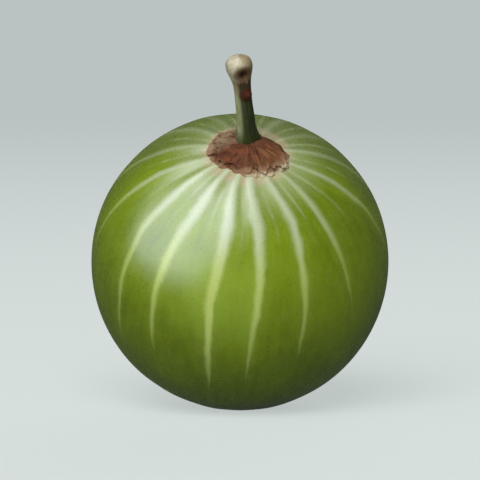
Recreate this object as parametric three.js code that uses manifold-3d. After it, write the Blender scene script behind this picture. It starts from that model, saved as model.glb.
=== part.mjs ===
// A gooseberry as picked: one round berry with its stalk still on, and the dried flower at the other end.
// It lies on a small flat spot, its stalk end up and turned towards -Y, its blossom end low at the back.
// Millimetres, +Z up. The origin is the middle of the flat spot.
import * as THREE from 'three';
import * as BufferGeometryUtils from 'three/addons/utils/BufferGeometryUtils.js';
import Module from 'manifold-3d';

const wasm = await Module();
wasm.setup();

// Driving dimensions, in millimetres
const berryRadius = 11;
const flatRadius = 2.2;        // the spot where the skin is pressed flat
const seatGap = 0.12;          // left between a piece and the one that it sits on
const axisTilt = THREE.MathUtils.degToRad(37.6);   // the stalk's axis, from upright towards -Y
const axisLean = THREE.MathUtils.degToRad(3.9);    // and then towards +X
const flowerParts = 5;         // there are five sepals, five petals and five stamens

// The skin is drawn in a little round the stalk and round the dried flower
const stalkEnd = { dimpleDepth: 0.3, dimpleRadius: 2.6 };
const blossomEnd = { dimpleDepth: 0.35, dimpleRadius: 2.4 };

const colours = {
  skin: '#7c9620',
  collar: '#8d5140',
  stalk: '#7d8150',
  calyx: '#8a5138',
  sepal: '#7a3d2b',
  petal: '#c79a80',
  stamen: '#c08a6c',
  style: '#d3a594',
};

// ---- Geometry helpers ----

// A geometry with positions only, shared vertices merged and collapsed triangles left out.
function closed(geometry) {
  const bare = geometry.clone();
  bare.deleteAttribute('normal');
  bare.deleteAttribute('uv');
  const merged = BufferGeometryUtils.mergeVertices(bare, 1e-4);
  const corners = merged.index.array;
  const kept = [];
  for (let i = 0; i < corners.length; i += 3) {
    const [a, b, c] = corners.slice(i, i + 3);
    if (a !== b && b !== c && c !== a) kept.push(a, b, c);
  }
  merged.setIndex(kept);
  return merged;
}

function toSolid(geometry) {
  const merged = closed(geometry);
  return new wasm.Manifold(new wasm.Mesh({
    numProp: 3,
    vertProperties: merged.attributes.position.array,
    triVerts: new Uint32Array(merged.index.array),
  }));
}

function fromSolid(solid) {
  const mesh = solid.getMesh();
  const geometry = new THREE.BufferGeometry();
  geometry.setAttribute('position', new THREE.BufferAttribute(mesh.vertProperties, 3));
  geometry.setIndex(new THREE.BufferAttribute(mesh.triVerts, 1));
  return geometry;
}

// Moves every vertex to the place that the function gives for it.
function reshape(geometry, place) {
  const bare = closed(geometry);
  const positions = bare.attributes.position;
  const vertex = new THREE.Vector3();
  for (let i = 0; i < positions.count; i++) {
    place(vertex.fromBufferAttribute(positions, i));
    positions.setXYZ(i, vertex.x, vertex.y, vertex.z);
  }
  return bare;
}

// A lathe turned about Z. The outline is a list of [radius, height], with its outer side going up.
function turned(outline, sides) {
  const points = outline.map(([radius, height]) => new THREE.Vector2(radius, height));
  return new THREE.LatheGeometry(points, sides).rotateX(Math.PI / 2);
}

// Height of the skin above the berry's middle, at a radius from its axis.
function skinHeight(radius, end) {
  const sphere = Math.sqrt(Math.max(0, berryRadius ** 2 - radius ** 2));
  return sphere - end.dimpleDepth * Math.exp(-((radius / end.dimpleRadius) ** 2));
}

function piece(name, geometry, colour, roughness) {
  const material = new THREE.MeshStandardMaterial({ color: colour, roughness, metalness: 0 });
  const mesh = new THREE.Mesh(geometry, material);
  mesh.name = name;
  return mesh;
}

// ---- The berry ----

function berryGeometry(holder) {
  const rings = 36;
  const outline = [];
  for (let i = 0; i <= rings; i++) {
    const latitude = Math.PI * (i / rings - 0.5);
    const end = latitude < 0 ? blossomEnd : stalkEnd;
    const radius = i % rings === 0 ? 0 : berryRadius * Math.cos(latitude);
    outline.push([radius, Math.sign(latitude) * skinHeight(radius, end)]);
  }
  const body = toSolid(turned(outline, 60));

  // all that would lie below the surface comes off, which leaves the flat spot
  const blockSize = 3 * berryRadius;
  const below = new THREE.BoxGeometry(blockSize, blockSize, blockSize)
    .translate(0, 0, -blockSize / 2)
    .applyMatrix4(holder.matrixWorld.clone().invert());
  return fromSolid(body.subtract(toSolid(below)));
}

// ---- Rings that lie on the skin ----

// The outline is [radius, height above the skin], and the outer edge is drawn out into lobes. It stands
// higher or lower towards +Y by backRise, as a share of its height at the outer edge.
function ringOnSkin({ outline, lobes, lobeReach, lobeRise, backRise }, end) {
  const sides = 48;
  const outerRadius = Math.max(...outline.map(([radius]) => radius));
  const ends = outline[0][0] > 0 ? [outline[0]] : [];      // a mound closes on its axis instead
  return reshape(turned([...outline, ...ends], sides), (vertex) => {
    const edgeShare = Math.hypot(vertex.x, vertex.y) / outerRadius;
    const wave = Math.cos(lobes * Math.atan2(vertex.y, vertex.x));
    const spread = 1 + (lobeReach / outerRadius) * wave * edgeShare ** 4;
    const rise = 1 + lobeRise * wave * edgeShare ** 2 + (backRise * vertex.y) / outerRadius;
    const height = seatGap + vertex.z * rise;
    vertex.setZ(skinHeight(outerRadius * edgeShare * spread, end) + height);
    vertex.x *= spread;
    vertex.y *= spread;
  });
}

// The withered scales round the foot of the stalk: a low mound, highest in front of the stalk, which stands
// behind its middle in a round hole
const collar = {
  outline: [
    [0, 0], [0.6, 0], [1.3, 0], [2, 0], [2.72, 0],
    [2.95, 0.16], [2.84, 0.34], [2.4, 0.5], [1.8, 0.62], [1.1, 0.72], [0.5, 0.76], [0, 0.77],
  ],
  lobes: 6,
  lobeReach: 0.16,
  lobeRise: 0.2,
  backRise: -0.3,
  stalkOffset: 0.9,
  holeRadius: 1.12,
};

function collarGeometry() {
  const mound = toSolid(ringOnSkin(collar, stalkEnd));
  const hole = new THREE.CylinderGeometry(collar.holeRadius, collar.holeRadius, 6, 32)
    .rotateX(Math.PI / 2)
    .translate(0, collar.stalkOffset, berryRadius);
  return fromSolid(mound.subtract(toSolid(hole)));
}

// The low cup that carries the dried flower
const calyxHeight = 0.4;
const calyx = {
  outline: [[1.25, 0], [2.5, 0], [2.66, 0.1], [2.58, 0.3], [2.4, calyxHeight], [1.4, calyxHeight], [1.25, 0.3]],
  lobes: flowerParts,
  lobeReach: 0.06,
  lobeRise: 0,
  backRise: 0,
};

// ---- Stalks: turned bodies bent along a curve ----

// The outline runs from the foot to the tip, as [radius, share of the length].
function stalk(outline, spine, sides, steps) {
  const profile = new THREE.SplineCurve(outline.map(([radius, share]) => new THREE.Vector2(radius, share)));
  const points = profile.getPoints(steps).map(({ x, y }) => [Math.max(0, x), THREE.MathUtils.clamp(y, 0, 1)]);
  const up = new THREE.Vector3(0, 0, 1);
  const turn = new THREE.Quaternion();
  return reshape(turned([[0, 0], ...points, [0, 1]], sides), (vertex) => {
    const share = vertex.z;
    turn.setFromUnitVectors(up, spine.getTangent(share));
    vertex.setZ(0).applyQuaternion(turn).add(spine.getPoint(share));
  });
}

function bend(...points) {
  return new THREE.QuadraticBezierCurve3(...points.map((point) => new THREE.Vector3(...point)));
}

// A flared foot, a thin shaft and the swollen end where it came off the twig
const stem = {
  outline: [
    [0.98, 0], [0.82, 0.06], [0.7, 0.15], [0.62, 0.35], [0.6, 0.6],
    [0.64, 0.76], [0.9, 0.86], [0.98, 0.92], [0.72, 0.985], [0.3, 1],
  ],
  spine: bend([0, 0, 0], [0, -0.05, 4.2], [-1.2, 1.05, 7.3]),
};

const stamen = {
  outline: [[0.12, 0], [0.1, 0.66], [0.18, 0.8], [0.19, 0.92], [0.08, 1]],
  spine: bend([1.5, 0, 0], [1.45, 0, 0.25], [0.98, 0, 0.4]),
};

// The style forks near its top, so it is two bent arms on one foot
const style = {
  outline: [[0.2, 0], [0.16, 0.6], [0.13, 0.9], [0.08, 1]],
  reach: 0.42,
  height: 1.75,
};

function styleGeometry() {
  const arms = [-1, 1].map((side) => {
    const spine = bend([0, 0, 0], [0, 0, 0.6 * style.height], [side * style.reach, 0, style.height]);
    return toSolid(stalk(style.outline, spine, 10, 12));
  });
  return fromSolid(arms[0].add(arms[1]));
}

// ---- Blades: the sepals and petals ----

// A thin blade that starts on the calyx. Its spine is a curve in the plane of radius and height, and it
// narrows from its foot to its tip. It is cupped across, and thins towards its tip and edges.
function blade({ spine, footWidth, tipWidth, thickness, cupping, widthSteps, lengthSteps }) {
  const curve = new THREE.CubicBezierCurve(...spine.map((point) => new THREE.Vector2(...point)));
  const slab = new THREE.BoxGeometry(1, 1, 1, widthSteps, lengthSteps, 1);
  return reshape(slab, (vertex) => {
    const across = 2 * vertex.x;
    const share = vertex.y + 0.5;
    const middle = curve.getPoint(share);
    const tangent = curve.getTangent(share);
    const taper = Math.sqrt(1 - share ** 3);
    const halfWidth = (tipWidth + (footWidth - tipWidth) * taper) / 2;
    const thinning = (1 - 0.35 * share) * (1 - 0.4 * across ** 2);
    const outward = vertex.z * thickness * thinning - cupping * across ** 2;
    vertex.set(middle.x + tangent.y * outward, across * halfWidth, middle.y - tangent.x * outward);
  });
}

// Each sepal closes over the middle of the flower by its own amount
function sepal(closing) {
  return {
    spine: [[2.2, 0], [2.15, 0.33], [1.8, 0.58], [1.22 - 0.25 * closing, 0.78]],
    footWidth: 2.2,
    tipWidth: 0.24,
    thickness: 0.26,
    cupping: 0.1,
    widthSteps: 6,
    lengthSteps: 8,
  };
}

const petal = {
  spine: [[1.74, 0], [1.76, 0.15], [1.66, 0.3], [1.45, 0.4]],
  footWidth: 0.72,
  tipWidth: 0.3,
  thickness: 0.17,
  cupping: 0.02,
  widthSteps: 4,
  lengthSteps: 5,
};

// ---- The whole fruit ----

const gooseberry = new THREE.Group();

const fruit = new THREE.Group();
fruit.position.z = Math.sqrt(berryRadius ** 2 - flatRadius ** 2);
fruit.rotation.set(axisTilt, axisLean, 0, 'YXZ');
gooseberry.add(fruit);
gooseberry.updateMatrixWorld(true);

fruit.add(piece('berry', berryGeometry(fruit), colours.skin, 0.35));
fruit.add(piece('stem_collar', collarGeometry(), colours.collar, 0.8));

const stemMesh = piece('stem', stalk(stem.outline, stem.spine, 16, 30), colours.stalk, 0.7);
stemMesh.position.set(0, collar.stalkOffset, skinHeight(0, stalkEnd) + seatGap);
fruit.add(stemMesh);

const blossom = new THREE.Group();
blossom.rotation.x = Math.PI;
fruit.add(blossom);
blossom.add(piece('calyx_tube', ringOnSkin(calyx, blossomEnd), colours.calyx, 0.8));

const styleMesh = piece('style', styleGeometry(), colours.style, 0.7);
styleMesh.position.z = skinHeight(0, blossomEnd) + seatGap;
blossom.add(styleMesh);

const calyxMiddle = 1.5;       // the radius where the top of the cup stands highest
const calyxTop = skinHeight(calyxMiddle, blossomEnd) + seatGap + calyxHeight;

for (let i = 0; i < flowerParts; i++) {
  const closing = Math.sin(2.4 * i);
  const parts = [
    ['petal', blade(petal), colours.petal, 0],
    ['sepal', blade(sepal(closing)), colours.sepal, 0.5],
    ['stamen', stalk(stamen.outline, stamen.spine, 8, 10), colours.stamen, 0.5],
  ];
  for (const [name, geometry, colour, place] of parts) {
    const mesh = piece(`${name}_${i + 1}`, geometry, colour, 0.8);
    mesh.position.z = calyxTop + seatGap;
    mesh.rotation.z = Math.PI / 2 + (2 * Math.PI * (i + place)) / flowerParts;
    blossom.add(mesh);
  }
}

export default gooseberry;
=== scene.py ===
# A gooseberry with its stalk on, resting on a pale studio floor.
import math
import random

import bmesh
import bpy
import numpy as np
from mathutils import Matrix, Quaternion, Vector, noise


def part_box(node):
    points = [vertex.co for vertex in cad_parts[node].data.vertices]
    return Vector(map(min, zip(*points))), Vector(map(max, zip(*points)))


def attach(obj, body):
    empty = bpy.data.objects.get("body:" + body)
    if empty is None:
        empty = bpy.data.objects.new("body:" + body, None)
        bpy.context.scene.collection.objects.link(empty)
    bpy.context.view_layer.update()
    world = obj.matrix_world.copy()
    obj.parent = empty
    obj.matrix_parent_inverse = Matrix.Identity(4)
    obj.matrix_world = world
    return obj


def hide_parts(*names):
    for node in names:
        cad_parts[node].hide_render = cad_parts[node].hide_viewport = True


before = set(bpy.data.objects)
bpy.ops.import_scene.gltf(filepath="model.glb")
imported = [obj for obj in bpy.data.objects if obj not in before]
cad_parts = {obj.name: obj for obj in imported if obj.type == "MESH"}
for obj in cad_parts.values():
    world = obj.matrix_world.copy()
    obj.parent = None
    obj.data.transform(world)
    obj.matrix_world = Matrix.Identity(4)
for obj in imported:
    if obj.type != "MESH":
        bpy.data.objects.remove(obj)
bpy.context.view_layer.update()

mm = 0.001
noise.seed_set(5)      # so that the folds come out the same each run
print("frame loaded:", len(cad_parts), "nodes")


# where the fruit lies, all from the frame

def middleOf(node):
    low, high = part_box(node)
    return (low + high) / 2


berryLow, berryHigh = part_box("berry")
berryRadius = (berryHigh.x - berryLow.x) / 2
berryMiddle = Vector((0, 0, berryHigh.z - berryRadius))
stalkAxis = (middleOf("stem_collar") - middleOf("calyx_tube")).normalized()


def uprightFrame(axis, origin):
    # a frame with its Z along the axis and its X level, to the right
    sideways = Vector((0, 1, 0)).cross(axis).normalized()
    turned = Matrix((sideways, axis.cross(sideways), axis)).transposed().to_4x4()
    return Matrix.Translation(origin) @ turned


fruitFrame = uprightFrame(stalkAxis, berryMiddle)
blossomFrame = fruitFrame @ Matrix.Rotation(math.pi, 4, "X")


# camera

cameraSet = {
    "lens": 250,
    "elevation": 5,       # degrees above level
    "frameHeight": 35.5 * mm,
    "aim": (0, 0, 12.4 * mm),
    "clip": (0.1, 60),       # near and far, as shares of the distance
}


def makeCamera(settings):
    bpy.ops.object.camera_add()
    camera = bpy.context.object
    camera.name = "camera"
    camera.data.lens = settings["lens"]
    distance = settings["frameHeight"] * settings["lens"] / camera.data.sensor_width
    tilt = math.radians(settings["elevation"])
    back = Vector((0, -math.cos(tilt), math.sin(tilt)))
    camera.location = Vector(settings["aim"]) + back * distance
    camera.rotation_euler = (-back).to_track_quat("-Z", "Y").to_euler()
    near, far = settings["clip"]
    camera.data.clip_start = distance * near
    camera.data.clip_end = distance * far
    bpy.context.scene.camera = camera


makeCamera(cameraSet)
print("camera set")


# small tools for modelling

def deselectAll():
    if bpy.context.object and bpy.context.object.mode != "OBJECT":
        bpy.ops.object.mode_set(mode="OBJECT")
    bpy.ops.object.select_all(action="DESELECT")


def pick(piece):
    deselectAll()
    piece.select_set(True)
    bpy.context.view_layer.objects.active = piece


def selectVerts(piece, test):
    # in edit mode: selects only the vertices that pass the test
    mesh = bmesh.from_edit_mesh(piece.data)
    bpy.ops.mesh.select_all(action="DESELECT")
    for vert in mesh.verts:
        vert.select = test(vert.co)
    mesh.select_flush_mode()
    bmesh.update_edit_mesh(piece.data)


def sculpt(piece, move):
    # moves every vertex by hand, as a sculpting brush would
    for vert in piece.data.vertices:
        vert.co = move(vert.co.copy())
    piece.data.update()


def subdivide(piece, levels):
    pick(piece)
    modifier = piece.modifiers.new("smoother", "SUBSURF")
    modifier.levels = levels
    modifier.render_levels = levels
    bpy.ops.object.modifier_apply(modifier=modifier.name)


def thicken(piece, thickness):
    pick(piece)
    modifier = piece.modifiers.new("wall", "SOLIDIFY")
    modifier.thickness = thickness
    modifier.offset = 0
    bpy.ops.object.modifier_apply(modifier=modifier.name)


def growRings(sides, rings):
    # a circle, extruded ring by ring up Z; each ring is (radius, height)
    deselectAll()
    bpy.ops.mesh.primitive_circle_add(
        vertices=sides, radius=rings[0][0], location=(0, 0, rings[0][1]))
    bpy.ops.object.transform_apply(location=True)
    bpy.ops.object.mode_set(mode="EDIT")
    bpy.ops.mesh.select_all(action="SELECT")
    for (lastRadius, lastHeight), (radius, height) in zip(rings, rings[1:]):
        bpy.ops.mesh.extrude_region_move(
            TRANSFORM_OT_translate={"value": (0, 0, height - lastHeight)})
        share = radius / lastRadius
        bpy.ops.transform.resize(value=(share, share, 1), center_override=(0, 0, height))
    return bpy.context.object


def outward():
    # in edit mode: turns every face outwards
    bpy.ops.mesh.select_all(action="SELECT")
    bpy.ops.mesh.normals_make_consistent(inside=False)
    bpy.ops.object.mode_set(mode="OBJECT")


def writeMap(piece, name, places, wrap):
    # a UV map from one (across, along) place per vertex; across closes on itself at wrap
    layer = piece.data.uv_layers.new(name=name)
    for face in piece.data.polygons:
        corners = [piece.data.loops[i].vertex_index for i in face.loop_indices]
        highest = max(places[corner][0] for corner in corners)
        for i, corner in zip(face.loop_indices, corners):
            across, along = places[corner]
            if highest - across > wrap / 2:
                across += wrap
            layer.data[i].uv = (across, along)


def placePiece(piece, placing):
    # puts a piece in its place and keeps that place in its mesh
    pick(piece)
    piece.matrix_world = placing
    bpy.ops.object.transform_apply(location=True, rotation=True, scale=True)


def finishPiece(piece, name, material, nodes):
    pick(piece)
    bpy.ops.object.shade_smooth()
    piece.name = name
    piece.data.name = name
    piece.data.materials.clear()
    piece.data.materials.append(material)
    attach(piece, "root")
    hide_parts(*nodes)
    print(name, "made:", len(piece.data.polygons), "faces")


def blendBetween(rows, at):
    # reads a table of (place, value) rows at any place
    places, values = zip(*rows)
    return float(np.interp(at, places, values))


# small tools for materials

class Recipe:
    # a node tree, written so that it reads from top to bottom
    def __init__(self, name, kind="materials"):
        self.made = getattr(bpy.data, kind).new(name)
        self.made.use_nodes = True
        self.tree = self.made.node_tree
        self.shader = self.tree.nodes.get("Principled BSDF")

    def add(self, kind, **settings):
        node = self.tree.nodes.new(kind)
        for key, value in settings.items():
            setattr(node, key, value)
        return node

    def feed(self, socket, value):
        # gives a socket a node's output, a plain value or a colour written as text
        if isinstance(value, str):
            value = colour(value)
        if isinstance(value, bpy.types.NodeSocket):
            self.tree.links.new(value, socket)
        elif socket.type == "RGBA":
            socket.default_value = (*value, 1)
        else:
            socket.default_value = value

    def feedAll(self, node, *values):
        for socket, value in zip(node.inputs, values):
            self.feed(socket, value)
        return node.outputs[0]

    def math(self, operation, *values):
        return self.feedAll(self.add("ShaderNodeMath", operation=operation), *values)

    def plus(self, a, b):
        return self.math("ADD", a, b)

    def minus(self, a, b):
        return self.math("SUBTRACT", a, b)

    def times(self, a, b):
        return self.math("MULTIPLY", a, b)

    def vector(self, operation, a, b=(0, 0, 0)):
        node = self.add("ShaderNodeVectorMath", operation=operation)
        self.feed(node.inputs[0], a)
        self.feed(node.inputs["Scale" if operation == "SCALE" else 1], b)
        return node.outputs["Value" if operation in ("LENGTH", "DISTANCE") else 0]

    def split(self, vector):
        node = self.add("ShaderNodeSeparateXYZ")
        self.feed(node.inputs[0], vector)
        return node.outputs[0], node.outputs[1], node.outputs[2]

    def join(self, x, y, z):
        return self.feedAll(self.add("ShaderNodeCombineXYZ"), x, y, z)

    def ramp(self, value, low, high, toLow=0.0, toHigh=1.0):
        # a smooth step from toLow at low to toHigh at high
        node = self.add("ShaderNodeMapRange", interpolation_type="SMOOTHSTEP")
        return self.feedAll(node, value, low, high, toLow, toHigh)

    def mix(self, share, a, b):
        node = self.add("ShaderNodeMix", data_type="RGBA")
        self.feed(node.inputs["Factor"], share)
        self.feed(node.inputs[6], a)
        self.feed(node.inputs[7], b)
        return node.outputs[2]

    def noise(self, place, scale, detail, roughness=0.5):
        node = self.add("ShaderNodeTexNoise")
        self.feed(node.inputs["Vector"], place)
        self.feed(node.inputs["Scale"], scale)
        self.feed(node.inputs["Detail"], detail)
        self.feed(node.inputs["Roughness"], roughness)
        return node.outputs["Fac"]

    def rays(self, flat):
        # fibres that run out from the middle
        away = self.vector("SCALE", self.vector("NORMALIZE", flat), 5.0)
        return self.noise(self.vector("ADD", away, self.vector("SCALE", flat, 0.3)), 1.0, 4, 0.65)

    def cells(self, place, scale, feature):
        node = self.add("ShaderNodeTexVoronoi", feature=feature)
        self.feed(node.inputs["Vector"], place)
        self.feed(node.inputs["Scale"], scale)
        return node.outputs["Distance"]

    def map(self, name):
        # a UV map, taken apart
        return self.split(self.add("ShaderNodeUVMap", uv_map=name).outputs[0])

    def placeIn(self, placing):
        # Object coordinates turned into the piece's own frame, in millimetres
        back = Matrix.Scale(1 / mm, 4) @ placing.inverted()
        turn = self.add("ShaderNodeMapping", vector_type="POINT")
        self.feed(turn.inputs["Vector"], self.add("ShaderNodeTexCoord").outputs["Object"])
        turn.inputs["Location"].default_value = back.translation
        turn.inputs["Rotation"].default_value = back.to_euler()
        turn.inputs["Scale"].default_value = back.to_scale()
        return turn.outputs[0]

    def bump(self, height, depth, strength):
        node = self.add("ShaderNodeBump")
        self.feed(node.inputs["Height"], height)
        self.feed(node.inputs["Distance"], depth)
        self.feed(node.inputs["Strength"], strength)
        self.feed(self.shader.inputs["Normal"], node.outputs[0])

    def emission(self, tone, strength):
        return self.feedAll(self.add("ShaderNodeEmission"), tone, strength)

    def blend(self, share, a, b):
        # two shaders, mixed
        return self.feedAll(self.add("ShaderNodeMixShader"), share, a, b)

    def show(self, shader):
        # puts another shader on the surface
        self.feed(self.tree.nodes["Material Output"].inputs["Surface"], shader)

    def finish(self, settings):
        for name, value in settings.items():
            self.feed(self.shader.inputs[name], value)
        return self.made


def colour(text):
    # a colour as it is written on a screen, such as "7c9620", for a shader
    parts = [int(text[i:i + 2], 16) / 255 for i in (0, 2, 4)]
    return tuple(p / 12.92 if p < 0.04045 else ((p + 0.055) / 1.055) ** 2.4 for p in parts)


# the berry

berry = {
    "sides": 360,
    "rings": 160,
    "stalkDimple": (0.30 * mm, 2.6 * mm),     # how deep, how wide
    "blossomDimple": (0.35 * mm, 2.4 * mm),
    # degrees down from the stalk where the front veins are measured
    "veinStops": (18, 35, 50, 65, 80, 100),
    # each front vein: degrees round from the front at those stops, strength, where it ends
    "frontVeins": (
        ((-77, -81, -82, -83, -83, -82), 0.66, 84),
        ((-57, -56.5, -57.5, -54.5, -52, -48), 0.85, 100),
        ((-34.6, -34.5, -37, -36.5, -34, -31), 0.98, 96),
        ((-13, -9.5, -10.8, -11.8, -10.2, -9), 1.16, 108),
        ((6, 9.6, 9.7, 8.0, 6.0, 4.6), 1.00, 101),
        ((31, 33.8, 30.6, 28.3, 25.2, 22), 0.85, 92),
        ((54, 53, 52.2, 51.2, 50, 49), 0.60, 80),
        ((79, 84, 86.5, 87, 87, 87), 0.55, 82),
    ),
    "backVeins": {"count": 7, "lean": 2, "strength": (0.6, 0.95), "end": (84, 104)},
    # degrees past a vein's end, strength; then all come back towards the flower: degrees down, strength
    "veinFade": ((-34, 1), (-12, 0.66), (0, 0)),
    "veinReturn": ((118, 0), (142, 0.9)),
    "faintestVein": 0.07,
    "ribNearEnds": 0.05 * mm,
    "ribAtWaist": 0.008 * mm,
    "ribPeak": (18, 16),           # degrees from either end, how far round it they stay high
    "ribsGoneInside": 3 * mm,
    "uneven": (0.05 * mm, 6 * mm),     # height and width of its faint unevenness
    "seed": 4,
    "colours": {
        "flesh": ("6f8800", "829c00"),
        "paleStreak": "93ad14",
        "darkStreak": "5d7300",
        "lightFlesh": "a6c63a",
        "sideVein": "b4c766",
        "byVein": "a9c04a",
        "byEnds": "b4c090",
        # painted shade behind the stalk
        "shadeBehindStalk": "6f7d42",
        "fineVein": "c6d29c",
        "byCollar": "cdbb98",
        "byFlower": "c4ae84",
        "vein": ("d3e0b8", "c6dc72"),      # by the stalk, lower down
        "strongVein": "deef88",
        "underFlower": "4a2418",
        "pore": "cfdc96",
    },
}


def skinDrop(radius, dimple):
    depth, width = dimple
    return depth * math.exp(-(radius / width) ** 2)


def skinHeight(radius, dimple):
    # how far the skin is from the berry's middle, measured along the stalk's axis
    return math.sqrt(max(0, berryRadius ** 2 - radius ** 2)) - skinDrop(radius, dimple)


def planVeins(settings):
    # the front veins as measured, then the rest at nearly even steps round the back
    draw = random.Random(settings["seed"])
    veins = [list(vein) for vein in settings["frontVeins"]]
    first, last = veins[0][0], veins[-1][0]
    rest = settings["backVeins"]
    for i in range(rest["count"]):
        share = (i + 1) / (rest["count"] + 1)
        lean = draw.uniform(-rest["lean"], rest["lean"])
        stops = [
            (1 - share) * b + share * (a + 360) + lean * math.sin(j * 0.9 + i)
            for j, (a, b) in enumerate(zip(first, last))
        ]
        veins.append([stops, draw.uniform(*rest["strength"]), draw.uniform(*rest["end"])])
    return veins


def readVeins(down, around, veins, settings):
    # for a place on the skin, in degrees: which vein it is near, counted in
    # veins with a whole number on a vein, and that vein's strength there
    lines = [float(np.interp(down, settings["veinStops"], vein[0])) for vein in veins]
    lines.append(lines[0] + 360)
    around = (around - lines[0]) % 360 + lines[0]
    number = float(np.interp(around, lines, range(len(lines))))
    _, force, end = veins[round(number) % len(veins)]
    early = blendBetween(settings["veinFade"], down - end)
    late = blendBetween(settings["veinReturn"], down)
    return number, force * max(early, late, settings["faintestVein"])


def makeBerry(settings):
    deselectAll()
    bpy.ops.mesh.primitive_uv_sphere_add(
        segments=settings["sides"], ring_count=settings["rings"], radius=berryRadius)
    piece = bpy.context.object
    veins = planVeins(settings)

    places = []
    for vert in piece.data.vertices:
        around = math.degrees(math.atan2(vert.co.y, vert.co.x)) + 90
        down = math.degrees(math.acos(max(-1, min(1, vert.co.z / berryRadius))))
        places.append((*readVeins(down, around, veins, settings), down))

    # the vein map: veins across, the share of the way down along
    writeMap(piece, "veins", [(number, down / 180) for number, _, down in places], len(veins))
    strength = piece.data.attributes.new("veinStrength", "FLOAT", "POINT")
    strength.data.foreach_set("value", [place[1] for place in places])

    # dimples at both ends, and faint ribs that follow the veins
    peak, spread = settings["ribPeak"]
    unevenHeight, unevenWidth = settings["uneven"]
    for vert, (number, _, down) in zip(piece.data.vertices, places):
        point = vert.co.copy()
        radius = math.hypot(point.x, point.y)
        nearEnd = math.exp(-((min(down, 180 - down) - peak) / spread) ** 2)
        rib = settings["ribAtWaist"] + (settings["ribNearEnds"] - settings["ribAtWaist"]) * nearEnd
        rib *= min(1, radius / settings["ribsGoneInside"]) ** 2
        swell = rib * math.cos(2 * math.pi * number)
        swell += unevenHeight * noise.noise(point / unevenWidth)
        dimple = settings["stalkDimple"] if point.z > 0 else settings["blossomDimple"]
        lifted = point * (1 + swell / berryRadius)
        lifted.z -= math.copysign(skinDrop(radius, dimple), point.z)
        vert.co = lifted
    placePiece(piece, fruitFrame)

    # the flat spot: what would be below the floor is pressed up to it
    bpy.ops.object.mode_set(mode="EDIT")
    selectVerts(piece, lambda co: co.z < 0)
    bpy.ops.transform.resize(value=(1, 1, 0), center_override=(0, 0, 0), orient_type="GLOBAL")
    bpy.ops.object.mode_set(mode="OBJECT")
    return piece, len(veins)


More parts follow.
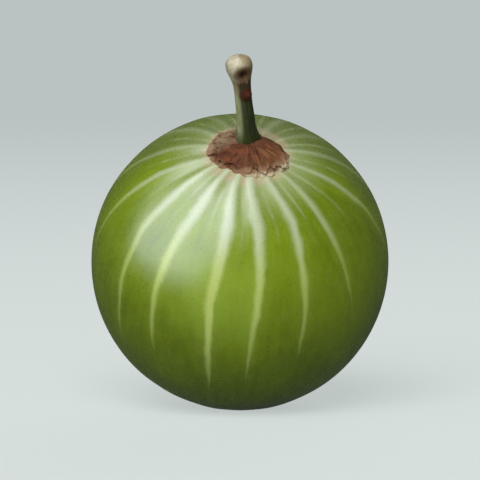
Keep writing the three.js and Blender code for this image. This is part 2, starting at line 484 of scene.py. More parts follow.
def skinMaterial(settings, veinCount):
    r = Recipe("gooseberrySkin")
    tint = settings["colours"]
    place = r.placeIn(fruitFrame)
    number, down, _ = r.map("veins")
    strength = r.add("ShaderNodeAttribute", attribute_name="veinStrength").outputs["Fac"]

    # which vein is nearest, and how far off it is in millimetres
    number = r.plus(number, r.times(r.minus(r.noise(place, 0.35, 2), 0.5), 0.10))
    nearest = r.math("ROUND", number)
    waist = r.math("SINE", r.times(down, math.pi))
    spacing = r.times(waist, 2 * math.pi * berryRadius / mm / veinCount)
    offLine = r.math("ABSOLUTE", r.minus(number, nearest))
    off = r.times(offLine, spacing)
    luck = r.add("ShaderNodeTexWhiteNoise", noise_dimensions="1D")
    r.feed(luck.inputs["W"], r.math("MODULO", r.plus(nearest, 0.25), veinCount))

    # a vein is wide by the stalk and draws to a point
    wide = r.math("MAXIMUM", r.ramp(down, 0.10, 0.5, 0.60, 0.36), r.ramp(down, 0.72, 0.92, 0.0, 0.5))
    wide = r.math("MINIMUM", wide, r.times(spacing, 0.24))
    wide = r.times(wide, r.ramp(r.noise(place, 0.9, 3), 0.2, 0.8, 0.8, 1.2))
    wide = r.times(wide, r.ramp(strength, 0.0, 1.4, 0.25, 1.56))
    core = r.times(r.ramp(off, 0.0, wide, 1.0, 0.0), strength)
    glow = r.times(r.ramp(off, 0.0, r.times(wide, 3.4), 1.0, 0.0), strength)

    # a finer vein half way between, near the ends only
    between = r.times(r.minus(0.5, offLine), spacing)
    byEnds = r.plus(r.ramp(down, 0.12, 0.3, 1.0, 0.0), r.ramp(down, 0.8, 0.9))
    fine = r.times(r.ramp(between, 0.0, 0.22, 1.0, 0.0), byEnds)
    fine = r.times(fine, r.ramp(r.noise(place, 0.8, 2), 0.35, 0.65, 0.2, 1.0))

    # side veins: a broken net drawn away from the main ones
    along = r.times(down, math.pi * berryRadius / mm)
    slant = r.minus(along, r.times(off, 0.9))
    crook = r.times(r.noise(place, 0.6, 3), 1.6)
    netPlace = r.join(r.plus(r.times(number, 2.4), crook), r.plus(r.times(slant, 0.62), crook),
                      luck.outputs["Value"])
    twig = r.ramp(r.cells(netPlace, 1.0, "DISTANCE_TO_EDGE"), 0.0, 0.10, 1.0, 0.0)
    twig = r.times(twig, r.ramp(r.noise(place, 0.5, 2), 0.38, 0.66))

    # painted shade behind the stalk: the skin is painted darker and greyer there, and its veins fainter
    _, back, _ = r.split(place)
    behind = r.times(r.ramp(back, -0.6, 3.0), r.ramp(down, 0.20, 0.42, 1.0, 0.0))
    kept = r.math("MULTIPLY_ADD", behind, -0.68, 1.0)
    core, glow = r.times(core, kept), r.times(glow, kept)

    # the flesh seen through the skin, cloudy and finely streaked
    cloudy = r.noise(place, 0.16, 3, 0.55)
    streaks = r.noise(r.join(r.times(number, 7.0), r.times(along, 0.45), 0.0), 1.0, 3, 0.6)
    base = r.mix(r.ramp(cloudy, 0.3, 0.7), *tint["flesh"])
    base = r.mix(r.times(r.ramp(streaks, 0.35, 0.75), 0.35), base, tint["paleStreak"])
    base = r.mix(r.times(r.ramp(streaks, 0.5, 0.2), 0.22), base, tint["darkStreak"])
    # lighter on the way to the strongest vein, and on to the next one
    light = r.times(r.ramp(number, 2.1, 2.9), r.ramp(number, 3.90, 4.15, 1.0, 0.0))
    light = r.times(light, r.ramp(down, 0.23, 0.31))
    light = r.times(light, r.ramp(down, 0.37, 0.49, 0.55, 0.0))
    base = r.mix(light, base, tint["lightFlesh"])
    base = r.mix(r.times(twig, 0.08), base, tint["sideVein"])
    base = r.mix(r.times(glow, 0.28), base, tint["byVein"])
    paleEnds = r.plus(r.ramp(down, 0.07, 0.20, 0.72, 0.0), r.ramp(down, 0.80, 0.925, 0.0, 0.72))
    base = r.mix(paleEnds, base, tint["byEnds"])
    # the painted shade behind the stalk, darker and greyer
    base = r.mix(r.times(behind, 0.55), base, tint["shadeBehindStalk"])
    base = r.mix(r.times(fine, 0.5), base, tint["fineVein"])

    # a ragged tan border by the collar and by the withered flower
    border = r.plus(down, r.times(r.minus(r.noise(place, 1.5, 3), 0.5), 0.012))
    base = r.mix(r.ramp(border, 0.086, 0.104, 0.65, 0.0), base, tint["byCollar"])
    base = r.mix(r.ramp(border, 0.900, 0.918, 0.0, 0.7), base, tint["byFlower"])

    # the main veins: whiter by the stalk, and the strong ones yellower below that
    veinColour = r.mix(r.ramp(down, 0.19, 0.34), *tint["vein"])
    strong = r.times(r.ramp(strength, 0.80, 1.15, 0.0, 0.55), r.ramp(down, 0.20, 0.33))
    veinColour = r.mix(strong, veinColour, tint["strongVein"])
    base = r.mix(r.math("MINIMUM", core, 0.94), base, veinColour)

    # dark tissue under the withered flower, and tiny pale pores
    base = r.mix(r.ramp(down, 0.925, 0.945), base, tint["underFlower"])
    base = r.mix(r.ramp(r.cells(place, 1.3, "F1"), 0.05, 0.12, 0.12, 0.0), base, tint["pore"])

    grain = r.noise(place, 5.5, 3, 0.6)
    height = r.plus(r.times(grain, 0.18), r.times(r.noise(place, 1.3, 2), 1.6))
    r.bump(r.plus(height, r.times(core, 0.5)), 0.02 * mm, 0.4)
    return r.finish({
        "Base Color": base,
        "Roughness": r.ramp(grain, 0.25, 0.75, 0.25, 0.35),
        "Subsurface Weight": 0.12,
        "Subsurface Radius": (0.6, 1.0, 0.2),
        "Subsurface Scale": 0.8 * mm,
        "Specular IOR Level": 1.0,
    })


skin, veinCount = makeBerry(berry)
finishPiece(skin, "skin", skinMaterial(berry, veinCount), ["berry"])


# dry tissue: crumpled rings, and thin blades that lie on them or stand up

dryRing = {
    # how many waves round its edge, how far in and out they go
    "raggedEdge": ((2.6, 0.060), (8.0, 0.045), (19.0, 0.040)),
    # how many creases round it, how they shift sideways, how they turn on the way out, height
    "creases": ((2.4, 0, 0.25, 1.0), (5.2, 5, 0.5, 0.7), (11, 9, 0.7, 0.45)),
    # crumples: size in millimetres, share of the depth
    "crumples": ((0.5, 1.0), (0.22, 0.35)),
}


def creased(place):
    # dry tissue folds into sharp creases with soft hollows between
    return 1 - 2.2 * abs(noise.noise(place))


def ringReach(angle, settings):
    # how far a ring reaches at an angle, as a share of its outline
    reach = blendBetween(settings["reach"], math.degrees(angle) % 360)
    around = Vector((math.cos(angle), math.sin(angle), 0))
    seed = Vector((0, 0, settings["seed"]))
    for waves, size in dryRing["raggedEdge"]:
        reach += size * noise.noise(around * waves + seed)
    return reach


def ringShare(radius, settings):
    # 0 at the ring's inner edge, 1 at its outer edge
    inner, outer = settings["edges"]
    return min(1, max(0, (radius - inner) / (outer - inner)))


def onRing(radius, angle, height, settings):
    # where a place on the plain ring comes to lie on the crumpled one, in millimetres
    share = ringShare(radius, settings)
    reach = 1 + (ringReach(angle, settings) - 1) * share ** 0.7
    rise = blendBetween(settings["height"], math.degrees(angle) % 360)
    around = Vector((math.cos(angle), math.sin(angle), settings["seed"]))
    fold = 0
    for count, shift, twist, size in dryRing["creases"]:
        fold += size * creased(around * count + Vector((shift, 0, twist * radius)))
    top = min(1, max(0, height / 0.1))      # the underside stays smooth
    window = top * math.sin(math.pi * (0.12 + 0.80 * share))
    wide = radius * reach + 0.05 * noise.noise(around * 6 + Vector((0, 0, radius)))
    lifted = height * (rise if height > 0 else 1) + settings["wrinkles"] * fold * rise * window * 0.5
    # the hole in the ring is off its middle
    aside, back = settings["holeAt"]
    x = wide * math.cos(angle) + aside * (1 - share)
    y = wide * math.sin(angle) + back * (1 - share)
    return x, y, lifted


def overDip(x, y, height, dimple):
    # a place over one of the berry's two dips, from millimetres to metres
    lift = skinHeight(math.hypot(x, y) * mm, dimple) + height * mm
    return Vector((x * mm, y * mm, lift))


def makeRing(settings, dimple):
    outline = [(r * mm, h * mm) for r, h in settings["outline"]]
    piece = growRings(settings["sides"], outline)
    bpy.ops.mesh.select_all(action="DESELECT")
    bpy.ops.mesh.select_non_manifold()
    bpy.ops.mesh.bridge_edge_loops()
    outward()
    subdivide(piece, 1)

    def crumple(co):
        angle = math.atan2(co.y, co.x)
        radius = math.hypot(co.x, co.y) / mm
        place = overDip(*onRing(radius, angle, co.z / mm, settings), dimple)
        if co.z > 0:
            rough = settings["crumples"] * mm * (0.35 + 0.65 * ringShare(radius, settings))
            for width, share in dryRing["crumples"]:
                place += noise.noise_vector(place / (width * mm)) * rough * share
        return place

    sculpt(piece, crumple)
    return piece


def makeSheet(cuts):
    # a flat unit sheet: X from -1 to 1 across it, Y from 0 to 1 along it
    deselectAll()
    bpy.ops.mesh.primitive_plane_add(size=1, location=(0, 0.5, 0))
    piece = bpy.context.object
    piece.scale.x = 2
    bpy.ops.object.transform_apply(location=True, scale=True)
    bpy.ops.object.mode_set(mode="EDIT")
    bpy.ops.mesh.subdivide(number_cuts=cuts)
    bpy.ops.object.mode_set(mode="OBJECT")
    return piece


# the crumpled collar of dry scales round the stalk

collar = {
    "sides": 200,
    "edges": (0.60, 3.00),
    "holeAt": (0.0, 0.9),
    # the ring cut through: distance from the hole's middle, height above the skin
    "outline": (
        (0.60, -0.05), (0.62, 0.45), (0.70, 0.78), (0.84, 0.94), (1.02, 0.98), (1.22, 0.94),
        (1.42, 0.88), (1.62, 0.81), (1.82, 0.74), (2.02, 0.66), (2.22, 0.58), (2.40, 0.48),
        (2.56, 0.38), (2.70, 0.27), (2.82, 0.18), (2.92, 0.10), (2.99, 0.04), (2.96, -0.04),
        (2.60, -0.10), (1.90, -0.12), (1.20, -0.12), (0.80, -0.10),
    ),
    # degrees round from the right: how far it reaches, how high it stands
    "reach": ((0, 0.98), (20, 0.81), (45, 0.58), (90, 0.72), (135, 0.97), (170, 1.01), (190, 0.97),
              (215, 0.82), (240, 0.77), (270, 0.80), (300, 0.90), (325, 1.00), (345, 1.02), (360, 0.98)),
    "height": ((0, 0.72), (40, 0.46), (90, 0.34), (140, 0.42), (180, 0.55), (225, 0.72),
               (270, 0.80), (310, 0.94), (335, 0.92), (360, 0.72)),
    "wrinkles": 0.24,
    "crumples": 0.09,
    "seed": 11,
    # dry scales on top: angle, where it starts, length, width, curl at the tip, lift
    "flakes": (
        (-28, 0.95, 1.95, 2.10, 0.12, 0.06), (-62, 0.80, 2.05, 1.90, 0.05, 0.05),
        (-98, 1.00, 1.85, 2.20, 0.03, 0.03), (-140, 1.10, 1.75, 2.30, 0.08, 0.03),
        (178, 1.30, 1.60, 1.90, 0.14, 0.02), (132, 1.40, 1.35, 1.70, 0.14, 0.03),
        (78, 1.45, 1.10, 1.60, 0.06, 0.01), (24, 1.35, 1.50, 1.80, 0.12, 0.02),
    ),
    "flakeCuts": 19,
    "flakeThickness": 0.06,
    "flakesEnd": 3.02,
    "paintedTo": 2.95,       # how far out its pale edge is
    "warmSpot": (1.8, -1.2, 11.0),      # the middle of its orange patch
    "colours": {
        "scales": ("4a291a", "785037"),
        "blotch": "89503a",
        "byStalk": "2f2413",
        "warm": "9c6c46",
        "dryBack": "b7a585",
        "rim": "a88768",
        "tornEdge": "d8caa6",
    },
}


def makeFlake(settings, flake, number):
    # one dry scale: a thin sheet that follows the ring, with a torn tip
    turn, start, length, width, curl, lift = flake
    piece = makeSheet(settings["flakeCuts"])
    middle = math.radians(turn)
    odd = Vector((number * 3.7, 1.3, 0))        # so that no two are alike
    ringTop = [row for row in settings["outline"] if row[1] > 0]

    def curlUp(co):
        across, along = co.x, co.y
        spread = 0.55 + 0.55 * math.sin(math.pi * min(1, along * 0.6 + 0.05)) - 0.28 * along ** 6
        torn = 0.16 * noise.noise(Vector((across * 2.0, 0, 0)) + odd)
        torn += 0.10 * noise.noise(Vector((across * 6.0, 0, 3)) + odd)
        radius = start + length * (1 - 0.10 * across ** 2 + torn) * along
        angle = middle + across * width * 0.5 * spread / max(1.2, radius)
        angle += 0.12 * noise.noise(Vector((along * 2.4, across, 2)) + odd)
        angle += 0.04 * noise.noise(Vector((along * 7, across * 2, 6)) + odd)
        radius = min(radius, settings["flakesEnd"])
        x, y, ground = onRing(radius, angle, blendBetween(ringTop, radius), settings)
        cup = 0.05 * (across ** 2 - 0.3) * math.sin(math.pi * along)
        ripple = 0.09 * (creased(Vector((across * 2.6, along * 0.9, 4)) + odd) - 0.4)
        rise = lift + curl * along ** 3 + cup + ripple * (0.3 + along)
        # the long edges lie down on the ring
        rise -= 0.07 * abs(across) ** 5 * (1 - along ** 2)
        return overDip(x, y, ground + rise, berry["stalkDimple"])

    sculpt(piece, curlUp)
    thicken(piece, settings["flakeThickness"] * mm)
    subdivide(piece, 1)
    return piece


def makeCollar(settings):
    ring = makeRing(settings, berry["stalkDimple"])
    flakes = [makeFlake(settings, flake, i) for i, flake in enumerate(settings["flakes"])]
    pick(ring)
    for flake in flakes:
        flake.select_set(True)
    bpy.ops.object.join()
    placePiece(ring, fruitFrame)
    return ring


def collarMaterial(settings):
    r = Recipe("dryCollar")
    tint = settings["colours"]
    place = r.placeIn(fruitFrame)
    x, y, _ = r.split(place)
    # how far out on the collar: 0 at the stalk, about 1 at the edge
    flat = r.join(x, r.times(y, 1.25), 0.0)
    out = r.math("DIVIDE", r.vector("LENGTH", flat), settings["paintedTo"])
    out = r.plus(out, r.times(r.minus(r.noise(place, 1.6, 4, 0.6), 0.5), 0.30))
    rays = r.rays(flat)
    blotch = r.noise(place, 1.9, 3, 0.55)
    base = r.mix(r.ramp(rays, 0.35, 0.65), *tint["scales"])
    base = r.mix(r.times(r.ramp(blotch, 0.48, 0.7), 0.7), base, tint["blotch"])
    foot = r.vector("DISTANCE", r.join(x, y, 0.0), (*settings["holeAt"], 0.0))
    base = r.mix(r.ramp(foot, 1.05, 0.75), base, tint["byStalk"])
    # the right side is more orange
    warm = r.ramp(r.vector("DISTANCE", place, settings["warmSpot"]), 0.6, 1.5, 0.75, 0.0)
    base = r.mix(r.times(warm, r.ramp(rays, 0.4, 0.62, 0.25, 1.0)), base, tint["warm"])
    # pale dry edge, paler still at the back and on the left
    back = r.ramp(r.minus(y, r.times(x, 0.6)), 0.2, 1.8, 0.0, 0.55)
    base = r.mix(r.times(back, r.ramp(blotch, 0.35, 0.6)), base, tint["dryBack"])
    base = r.mix(r.ramp(out, 0.82, 0.97, 0.0, 0.80), base, tint["rim"])
    base = r.mix(r.ramp(out, 0.98, 1.08, 0.0, 0.9), base, tint["tornEdge"])
    r.bump(r.plus(rays, r.times(r.noise(place, 7, 4, 0.65), 0.5)), 0.10 * mm, 0.8)
    return r.finish({
        "Base Color": base,
        "Roughness": r.ramp(rays, 0.3, 0.7, 0.5, 0.8),
        "Specular IOR Level": 0.15,
    })


finishPiece(makeCollar(collar), "collarScales", collarMaterial(collar), ["stem_collar"])


# round stems: modelled straight, then bent along a middle line

def makeTube(sides, outline, length):
    # outline is share of the way up and radius; the length is in millimetres, as the radii are
    rings = [(radius * mm, share * length * mm) for share, radius in outline]
    piece = growRings(sides, rings)
    tip = 0.006 * length * mm       # the top closes to a point this much higher
    bpy.ops.mesh.extrude_region_move(TRANSFORM_OT_translate={"value": (0, 0, tip)})
    bpy.ops.mesh.merge(type="CENTER")
    bpy.ops.mesh.select_all(action="DESELECT")
    bpy.ops.mesh.select_non_manifold()
    bpy.ops.mesh.edge_face_add()
    outward()
    return piece, length * mm


def onSpine(share, angle, spine):
    # a place on the bent middle line, and the way out from it at an angle
    a, b, c = (Vector(p) for p in spine)
    point = a * (1 - share) ** 2 + b * 2 * share * (1 - share) + c * share ** 2
    direction = ((b - a) * (1 - share) + (c - b) * share).normalized()
    side = Vector((0, 1, 0)).cross(direction).normalized()
    return point, side * math.cos(angle) + direction.cross(side) * math.sin(angle)


# the stalk

stalk = {
    "sides": 40,
    "length": 8.0,
    # share of the way up, radius in millimetres
    "outline": (
        (0.000, 1.00), (0.010, 1.00), (0.030, 0.97), (0.06, 0.91), (0.09, 0.85), (0.12, 0.79),
        (0.17, 0.73), (0.23, 0.68), (0.30, 0.65), (0.38, 0.63), (0.46, 0.62), (0.54, 0.61),
        (0.61, 0.61), (0.67, 0.63), (0.72, 0.68), (0.765, 0.76), (0.80, 0.84), (0.835, 0.91),
        (0.87, 0.95), (0.905, 0.945), (0.935, 0.88), (0.96, 0.76), (0.98, 0.58), (0.993, 0.36),
    ),
    # millimetres from the berry's middle
    "spine": ((0, 0.9, 10.60), (-0.45, 0.85, 15.0), (-1.2, 1.95, 18.1)),
    # pits and bumps: where, how wide, how far in or out, in millimetres
    "scar": ((-0.64, 0.82, 17.22), 0.52, -0.34),
    "scarLip": ((-0.70, 0.82, 17.33), 0.95, 0.13),
    "bud": ((-0.30, 0.80, 15.48), 0.38, 0.32),
    "ridges": 0.11,
    "knobAt": 0.88,
    "footSpread": (0.09, 0.35),       # how far up it reaches, how much wider the right side gets
    "colours": {
        "rind": ("a3ab78", "cdd3a8"),
        "neck": "b39f7c",
        # its right side: its own darker tint, deepened as painted shade
        "rightTintAndShade": ("222b0e", "3d4520"),
        "rightNeckTintAndShade": "4b3822",
        "foot": "37451a",
        "cork": ("c4bc9a", "e2dcc0"),
        # tan on the knob's right: its own tint, partly painted shade
        "tanCorkAndShade": "98805a",
        "scarRing": "77573a",
        "scar": "402a15",
        "bud": "522a1a",
    },
}


def makeStalk(settings):
    piece, length = makeTube(settings["sides"], settings["outline"], settings["length"])
    subdivide(piece, 2)
    spots = [vert.co for vert in piece.data.vertices]
    places = [(math.atan2(co.y, co.x) / (2 * math.pi) % 1, co.z / length) for co in spots]
    writeMap(piece, "rind", places, 1)
    footHeight, footExtra = settings["footSpread"]

    def shape(co):
        share = min(1, co.z / length)
        angle = math.atan2(co.y, co.x)
        radius = math.hypot(co.x, co.y) / mm
        around = Vector((math.cos(angle), math.sin(angle), 0))
        shaft = 1 - 0.5 * math.exp(-((share - settings["knobAt"]) / 0.1) ** 2)
        ridges = noise.noise(around * 1.6 + Vector((0, 0, share * 2.5)))
        ridges += 0.5 * noise.noise(around * 4 + Vector((4, 0, share * 4)))
        radius *= 1 + settings["ridges"] * ridges * shaft
        foot = math.exp(-share / footHeight)
        radius *= 1 + footExtra * foot * max(0, math.cos(angle + 0.2))
        middle, out = onSpine(share, angle, settings["spine"])
        point = middle + out * radius
        for name in ("scar", "scarLip", "bud"):
            place, width, push = settings[name]
            near = (point - Vector(place)).length
            point += out * push * math.exp(-(near / width) ** 2 * 1.6)
        return point * mm

    sculpt(piece, shape)
    placePiece(piece, fruitFrame)
    return piece


def stalkMaterial(settings):
    r = Recipe("stalkRind")
    tint = settings["colours"]
    place = r.placeIn(fruitFrame)
    around, up, _ = r.map("rind")
    turn = r.times(around, 2 * math.pi)
    cosine, sine = r.math("COSINE", turn), r.math("SINE", turn)
    threads = r.noise(r.join(r.times(cosine, 3.2), r.times(sine, 3.2), r.times(up, 6.0)), 1.0, 5, 0.62)
    fibre = r.ramp(threads, 0.35, 0.65)
    base = r.mix(fibre, *tint["rind"])
    neck = r.ramp(up, 0.52, 0.64)       # tan below the swollen end
    base = r.mix(r.times(neck, 0.8), base, tint["neck"])
    # darker and browner on the right side, and brown at the neck there: partly its own colour, partly
    # painted shade
    right = r.ramp(r.plus(cosine, r.times(threads, 0.5)), -0.42, 0.22)
    dark = r.mix(r.times(neck, 0.85), r.mix(fibre, *tint["rightTintAndShade"]), tint["rightNeckTintAndShade"])
    base = r.mix(r.times(right, 0.94), base, dark)
    base = r.mix(r.ramp(up, 0.08, 0.26, 0.8, 0.0), base, tint["foot"])
    # the swollen end: cork, tan on its right, partly its own colour and partly painted shade, with a
    # brown scar
    cork = r.mix(r.ramp(r.noise(place, 2.2, 4, 0.6), 0.35, 0.65), *tint["cork"])
    base = r.mix(r.ramp(r.plus(up, r.times(threads, 0.10)), 0.76, 0.84), base, cork)
    tan = r.ramp(r.plus(cosine, r.times(threads, 0.8)), 0.5, 1.3, 0.0, 0.75)
    base = r.mix(r.times(tan, r.ramp(up, 0.74, 0.84)), base, tint["tanCorkAndShade"])
    scar = r.vector("DISTANCE", place, settings["scar"][0])
    base = r.mix(r.ramp(scar, 0.50, 0.90, 0.9, 0.0), base, tint["scarRing"])
    base = r.mix(r.ramp(r.plus(scar, r.times(threads, 0.2)), 0.30, 0.62, 1.0, 0.0), base, tint["scar"])
    bud = r.vector("DISTANCE", place, settings["bud"][0])
    base = r.mix(r.ramp(bud, 0.42, 0.72, 0.95, 0.0), base, tint["bud"])
    r.bump(r.plus(threads, r.times(r.noise(place, 6, 3), 0.35)), 0.10 * mm, 0.7)
    return r.finish({
        "Base Color": base,
        "Roughness": r.ramp(threads, 0.3, 0.7, 0.45, 0.7),
        "Specular IOR Level": 0.25,
        "Subsurface Weight": 0.05,
        "Subsurface Scale": 0.5 * mm,
    })


finishPiece(makeStalk(stalk), "stalk", stalkMaterial(stalk), ["stem"])


# the withered flower at the other end

flower = {
    "parts": 5,       # sepals, petals and stamens, that many of each
    # painted shade for its folds, put on in random patches
    "foldShadeColour": "2e1710",
}

calyx = {
    "sides": 150,
    "edges": (0.95, 2.70),
    "holeAt": (0.0, 0.0),
    "outline": (
        (0.95, -0.10), (0.97, 0.10), (1.06, 0.24), (1.26, 0.32), (1.50, 0.36), (1.75, 0.40),
        (2.00, 0.44), (2.20, 0.45), (2.38, 0.40), (2.52, 0.30), (2.62, 0.18), (2.69, 0.06),
        (2.64, -0.06), (2.20, -0.12), (1.60, -0.12), (1.10, -0.12),
    ),
    "reach": ((0, 1.00), (60, 0.95), (120, 1.03), (180, 0.96), (240, 1.02), (300, 0.95), (360, 1.00)),
    "height": ((0, 1.0), (90, 1.15), (180, 0.9), (270, 1.1), (360, 1.0)),
    "wrinkles": 0.22,
    "crumples": 0.08,
    "seed": 23,
    "paintedTo": (2.15, 2.6),      # where its pale rim starts and is full
    "colours": ("55271d", "84422f", "c39c7c"),      # dark, light, edge
    "grain": 1.0,
}

sepals = {
    "cuts": 15,
    # distance from the axis and height above the dip, along the blade
    "spine": ((2.20, 0.20), (2.36, 0.48), (2.34, 0.78), (2.10, 1.03), (1.72, 1.16), (1.30, 1.16)),
    # share of the way along, half the width
    "width": ((0, 1.10), (0.2, 1.22), (0.45, 1.08), (0.7, 0.76), (0.88, 0.42), (1, 0.14)),
    "thickness": 0.11,
    "firstAngle": 126,
    # for each: how far the tip folds in or out, how much the sides roll, sideways lean
    "moods": ((-0.20, 0.30, 0.10), (0.35, -0.22, -0.16), (-0.05, 0.34, 0.18), (0.55, 0.26, -0.08),
              (-0.30, -0.20, 0.14)),
    "colours": ("5c2a1f", "934f39", "cba684"),
    "grain": 1.0,       # how fine its mottling is
}

petals = {
    "cuts": 9,
    "spine": ((1.74, 0.22), (1.76, 0.50), (1.64, 0.80), (1.46, 1.02)),
    "width": ((0, 0.16), (0.35, 0.30), (0.7, 0.38), (0.9, 0.30), (1, 0.12)),
    "thickness": 0.07,
    "firstAngle": 90,
    "moods": ((0.10, 0.16, 0.2), (-0.10, 0.12, -0.3), (0.16, -0.10, 0.1), (-0.06, 0.16, -0.2),
              (0.1, 0.1, 0.3)),
    "colours": ("8a5a42", "b98f6e", "dcc3a0"),
    "grain": 1.6,
}

stamens = {
    "sides": 12,
    "length": 1.05,
    "outline": ((0, 0.10), (0.08, 0.085), (0.3, 0.07), (0.55, 0.065), (0.68, 0.07), (0.74, 0.12),
                (0.80, 0.165), (0.88, 0.175), (0.95, 0.13), (0.99, 0.06)),
    "foot": 1.45,
    "firstAngle": 126,
    "leans": (0.46, 0.30, 0.58, 0.40, 0.52),      # how far each top leans in
    "colours": ("6b3b2a", "a06f50", "c7a27c"),
    "grain": 3.0,
}

style = {
    "sides": 16,
    "length": 2.1,
    "outline": ((0, 0.32), (0.1, 0.27), (0.3, 0.22), (0.55, 0.19), (0.78, 0.18), (0.88, 0.22),
                (0.95, 0.23), (0.99, 0.14)),
    "spread": 0.55,
    "weldSize": 0.03,
    "colours": ("8c5a4c", "bd8f7c", "dcbba4"),
    "grain": 3.0,
}


def dipFloor():
    # how far the bottom of the flower's dip is from the berry's middle, in millimetres
    return skinHeight(0, berry["blossomDimple"]) / mm


def partAngle(settings, number):
    return math.radians(settings["firstAngle"] + 360 / flower["parts"] * number)


def makeBlade(settings, number):
    # a withered leaf of the flower, bent along its spine, its sides rolled
    fold, roll, lean = settings["moods"][number]
    middle = partAngle(settings, number)
    odd = Vector((number * 5.1, 2.7, 0))
    rows = [(i / (len(settings["spine"]) - 1), *place) for i, place in enumerate(settings["spine"])]
    distances = [(share, r) for share, r, h in rows]
    heights = [(share, h) for share, r, h in rows]
    piece = makeSheet(settings["cuts"])

    def bend(co):
        across, along = co.x, co.y
        before, after = max(0, along - 0.08), min(1, along + 0.08)
        distance = blendBetween(distances, along) + fold * along ** 3
        height = blendBetween(heights, along) + abs(fold) * 0.25 * along ** 3
        rise = blendBetween(heights, after) - blendBetween(heights, before)
        run = blendBetween(distances, after) - blendBetween(distances, before)
        half = blendBetween(settings["width"], along)
        half *= 1 + 0.16 * noise.noise(Vector((0, along * 3, math.copysign(3, across))) + odd)
        # the sides roll up or down across the blade
        curl = roll * half * (across ** 2 - 0.25) * math.sin(math.pi * (0.15 + 0.8 * along))
        curl += 0.10 * half * creased(Vector((across * 1.7, along * 0.9, 0)) + odd)
        curl += 0.05 * noise.noise(Vector((across * 4, along * 4, 5)) + odd)
        size = math.hypot(rise, run)
        distance -= curl * rise / size
        height += curl * run / size
        turn = middle + (across * half + lean * along ** 2) / max(1.5, distance)
        return Vector((distance * math.cos(turn), distance * math.sin(turn), height + dipFloor())) * mm

    sculpt(piece, bend)
    thicken(piece, settings["thickness"] * mm)
    subdivide(piece, 1)
    placePiece(piece, blossomFrame)
    return piece


def makeStamen(settings, number):
    piece, length = makeTube(settings["sides"], settings["outline"], settings["length"])
    angle = partAngle(settings, number)
    out = Vector((math.cos(angle), math.sin(angle), 0))
    aside = Vector((-out.y, out.x, 0)) * 0.3 * math.sin(number * 2.1)
    foot = out * settings["foot"] + Vector((0, 0, dipFloor() + 0.12))
    top = foot - out * settings["leans"][number] + aside + Vector((0, 0, settings["length"] * 0.9))
    spine = (foot, foot.lerp(top, 0.5) + out * 0.14, top)

    def bend(co):
        turn = math.atan2(co.y, co.x)
        middle, way = onSpine(min(1, co.z / length), turn, spine)
        flat = 1 - 0.3 * abs(math.sin(turn))      # withered flat
        kink = 0.05 * noise.noise_vector(Vector((0, number * 3, co.z / (0.3 * mm))))
        return (middle + way * math.hypot(co.x, co.y) / mm * flat + kink) * mm

    subdivide(piece, 1)
    sculpt(piece, bend)
    placePiece(piece, blossomFrame)
    return piece


def makeStyle(settings):
    # two threads, grown together below and parted above
    arms = []
    for way in (-1, 1):
        piece, length = makeTube(settings["sides"], settings["outline"], settings["length"])
        foot = Vector((0.05 * way, 0, dipFloor() - 0.1))
        spine = (foot, foot + Vector((0.05 * way, 0.05, settings["length"] * 0.62)),
                 foot + Vector((settings["spread"] * way, 0.10 * way, settings["length"] * 0.97)))

        def bend(co):
            middle, out = onSpine(min(1, co.z / length), math.atan2(co.y, co.x), spine)
            thread = 1 + 0.16 * noise.noise(Vector((co.x, co.y, co.z * 0.5)) / (0.12 * mm))
            return (middle + out * math.hypot(co.x, co.y) / mm * thread) * mm

        subdivide(piece, 1)
        sculpt(piece, bend)
        arms.append(piece)
    pick(arms[0])
    arms[1].select_set(True)
    bpy.ops.object.join()
    fuse = arms[0].modifiers.new("fuse", "REMESH")
    fuse.mode = "VOXEL"
    fuse.voxel_size = settings["weldSize"] * mm
    bpy.ops.object.modifier_apply(modifier=fuse.name)
    placePiece(arms[0], blossomFrame)
    return arms[0]


def witheredMaterial(name, settings, isBlade):
    # dry brown flower tissue: dark patches at random, painted as the shade in its folds, paler and
    # thinner at its edges
    r = Recipe(name)
    darkColour, lightColour, edgeColour = settings["colours"]
    grain = settings["grain"]
    place = r.placeIn(blossomFrame)
    if isBlade:
        across, along, _ = r.map("UVMap")
        veins = r.noise(r.join(r.times(across, 9.0), r.times(along, 1.6), 0.0), 1.0, 4, 0.65)
        side = r.math("ABSOLUTE", r.minus(across, 0.5))
        rim = r.math("MAXIMUM", r.ramp(side, 0.36, 0.5), r.ramp(along, 0.78, 1.0))
    else:
        x, y, _ = r.split(place)
        flat = r.join(x, y, 0.0)
        veins = r.rays(flat)
        rim = r.ramp(r.vector("LENGTH", flat), *calyx["paintedTo"])
    mottle = r.noise(place, 2.0 * grain, 4, 0.6)
    base = r.mix(r.ramp(veins, 0.35, 0.65), darkColour, lightColour)
    base = r.mix(r.times(r.ramp(mottle, 0.5, 0.7), 0.5), base, edgeColour)
    # painted shade: dark patches standing in for the shade in its folds
    base = r.mix(r.times(r.ramp(mottle, 0.48, 0.3), 0.6), base, flower["foldShadeColour"])
    base = r.mix(r.times(rim, r.ramp(mottle, 0.3, 0.6, 0.25, 0.9)), base, edgeColour)
    r.bump(r.plus(veins, r.times(r.noise(place, 7 * grain, 4, 0.65), 0.5)), 0.08 * mm, 0.8)
    return r.finish({
        "Base Color": base,
        "Roughness": r.ramp(veins, 0.3, 0.7, 0.5, 0.78),
        "Specular IOR Level": 0.25,
    })


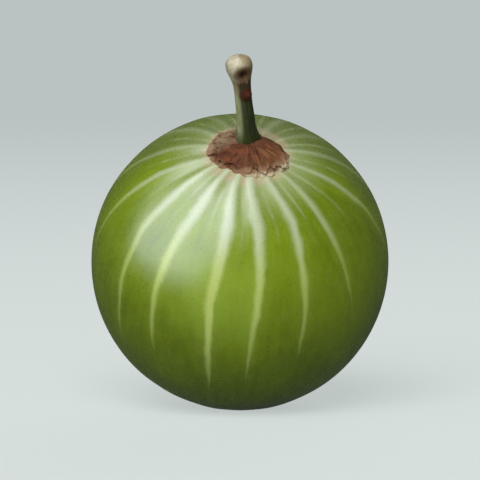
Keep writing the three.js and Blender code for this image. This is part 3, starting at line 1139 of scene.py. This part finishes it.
cup = makeRing(calyx, berry["blossomDimple"])
placePiece(cup, blossomFrame)
finishPiece(cup, "calyxCup", witheredMaterial("dryCalyx", calyx, False), ["calyx_tube"])
sepalMaterial = witheredMaterial("drySepals", sepals, True)
petalMaterial = witheredMaterial("dryPetals", petals, True)
stamenMaterial = witheredMaterial("dryStamens", stamens, False)
for i in range(flower["parts"]):
    finishPiece(makeBlade(sepals, i), f"sepal{i + 1}", sepalMaterial, [f"sepal_{i + 1}"])
    finishPiece(makeBlade(petals, i), f"petal{i + 1}", petalMaterial, [f"petal_{i + 1}"])
    finishPiece(makeStamen(stamens, i), f"stamen{i + 1}", stamenMaterial, [f"stamen_{i + 1}"])
finishPiece(makeStyle(style), "forkedStyle", witheredMaterial("dryStyle", style, False), ["style"])


# floor, backdrop and lamps

studio = {
    "background": (0.49, 0.545, 0.54),
    "floor": (0.28, 0.30, 0.295),
    "floorSeen": (0.47, 0.515, 0.50),    # added where the floor is looked at, not where it lights
    "glossShare": 0.15,       # how much of the pale surroundings a gloss shows
    "fill": 0.07,
    "floorSides": 96,
    "floorRadius": 0.9,
    "floorFades": (0.03, 0.45),       # how far out it turns into the background
    # lamps: direction from the berry, distance, width, height, power
    "key": ((-0.16, -0.77, 0.64), 0.90, 0.70, 0.70, 7.9),
    "back": ((0.20, 0.92, 0.34), 0.90, 0.70, 0.70, 2.6),
    # a bright card that only the gloss shows: the same, then its tilt, brightness and colour
    "card": ((-0.70, -0.56, 0.56), 0.90, 1.62, 1.78, -22, 4.6, (0.76, 0.78, 1.0)),
}


def lookedAt(r, glossShare):
    # 1 for rays that look at the surroundings, less for those that a gloss sends there
    paths = r.add("ShaderNodeLightPath").outputs
    looked = r.math("MULTIPLY_ADD", paths["Is Glossy Ray"], glossShare, paths["Is Camera Ray"])
    return r.math("MAXIMUM", looked, paths["Is Transmission Ray"])


def makeFloor(settings):
    deselectAll()
    bpy.ops.mesh.primitive_circle_add(
        vertices=settings["floorSides"], radius=settings["floorRadius"], fill_type="NGON")
    floor = bpy.context.object
    floor.name = "floor"
    r = Recipe("studioFloor")
    r.finish({"Base Color": settings["floor"], "Roughness": 0.9, "Specular IOR Level": 0.1})
    looked = lookedAt(r, settings["glossShare"])
    lifted = r.add("ShaderNodeAddShader")
    r.feed(lifted.inputs[0], r.shader.outputs[0])
    r.feed(lifted.inputs[1], r.emission(settings["floorSeen"], looked))
    # the background's colour, which still lights the berry a little
    share = r.math("MULTIPLY_ADD", looked, 1 - settings["fill"], settings["fill"])
    spread = r.vector("LENGTH", r.add("ShaderNodeTexCoord").outputs["Object"])
    far = r.ramp(spread, *settings["floorFades"])
    r.show(r.blend(far, lifted.outputs[0], r.emission(settings["background"], share)))
    floor.data.materials.append(r.made)
    floor.visible_glossy = False      # the skin mirrors the even background instead


def makeWorld(settings):
    r = Recipe("studioWorld", "worlds")
    bpy.context.scene.world = r.made
    light = r.tree.nodes["Background"]
    r.feed(light.inputs["Color"], (1, 1, 1))
    # the fill light is left out of reflections
    glossy = r.add("ShaderNodeLightPath").outputs["Is Glossy Ray"]
    fill = settings["fill"]
    r.feed(light.inputs["Strength"], r.math("MULTIPLY_ADD", glossy, -fill, fill))
    seen = r.add("ShaderNodeBackground")
    r.feed(seen.inputs["Color"], settings["background"])
    looked = lookedAt(r, settings["glossShare"])
    surface = r.tree.nodes["World Output"].inputs["Surface"]
    r.feed(surface, r.blend(looked, light.outputs[0], seen.outputs[0]))


def makeLamp(name, settings):
    direction, distance, width, height, power = settings
    direction = Vector(direction).normalized()
    bpy.ops.object.light_add(type="AREA", location=berryMiddle + direction * distance)
    lamp = bpy.context.object
    lamp.name = name
    lamp.data.shape = "RECTANGLE"
    lamp.data.size, lamp.data.size_y = width, height
    lamp.data.energy = power
    lamp.rotation_euler = (-direction).to_track_quat("-Z", "Y").to_euler()
    lamp.visible_camera = False
    lamp.visible_glossy = False


def makeCard(settings):
    direction, distance, width, height, tilt, glow, tint = settings
    direction = Vector(direction).normalized()
    deselectAll()
    bpy.ops.mesh.primitive_plane_add(size=1)
    card = bpy.context.object
    card.name = "glossCard"
    card.scale = (width, height, 1)
    facing = (-direction).to_track_quat("Z", "Y")
    card.rotation_euler = (Quaternion(direction, math.radians(tilt)) @ facing).to_euler()
    card.location = berryMiddle + direction * distance
    bpy.ops.object.transform_apply(location=True, rotation=True, scale=True)
    r = Recipe("glossCard")
    # it fades towards its edges
    across, upward, _ = r.split(r.add("ShaderNodeTexCoord").outputs["UV"])
    for share in (across, upward):
        offCentre = r.math("ABSOLUTE", r.minus(share, 0.5))
        glow = r.times(r.ramp(offCentre, 0.25, 0.50, 1.0, 0.0), glow)
    r.show(r.emission(tint, glow))
    r.made.cycles.emission_sampling = "NONE"
    card.data.materials.append(r.made)
    card.visible_camera = card.visible_diffuse = False
    card.visible_transmission = card.visible_shadow = False


makeFloor(studio)
makeWorld(studio)
makeCard(studio["card"])
makeLamp("keyLamp", studio["key"])
makeLamp("backLamp", studio["back"])
bpy.context.scene.view_settings.view_transform = "Standard"
print("studio set")
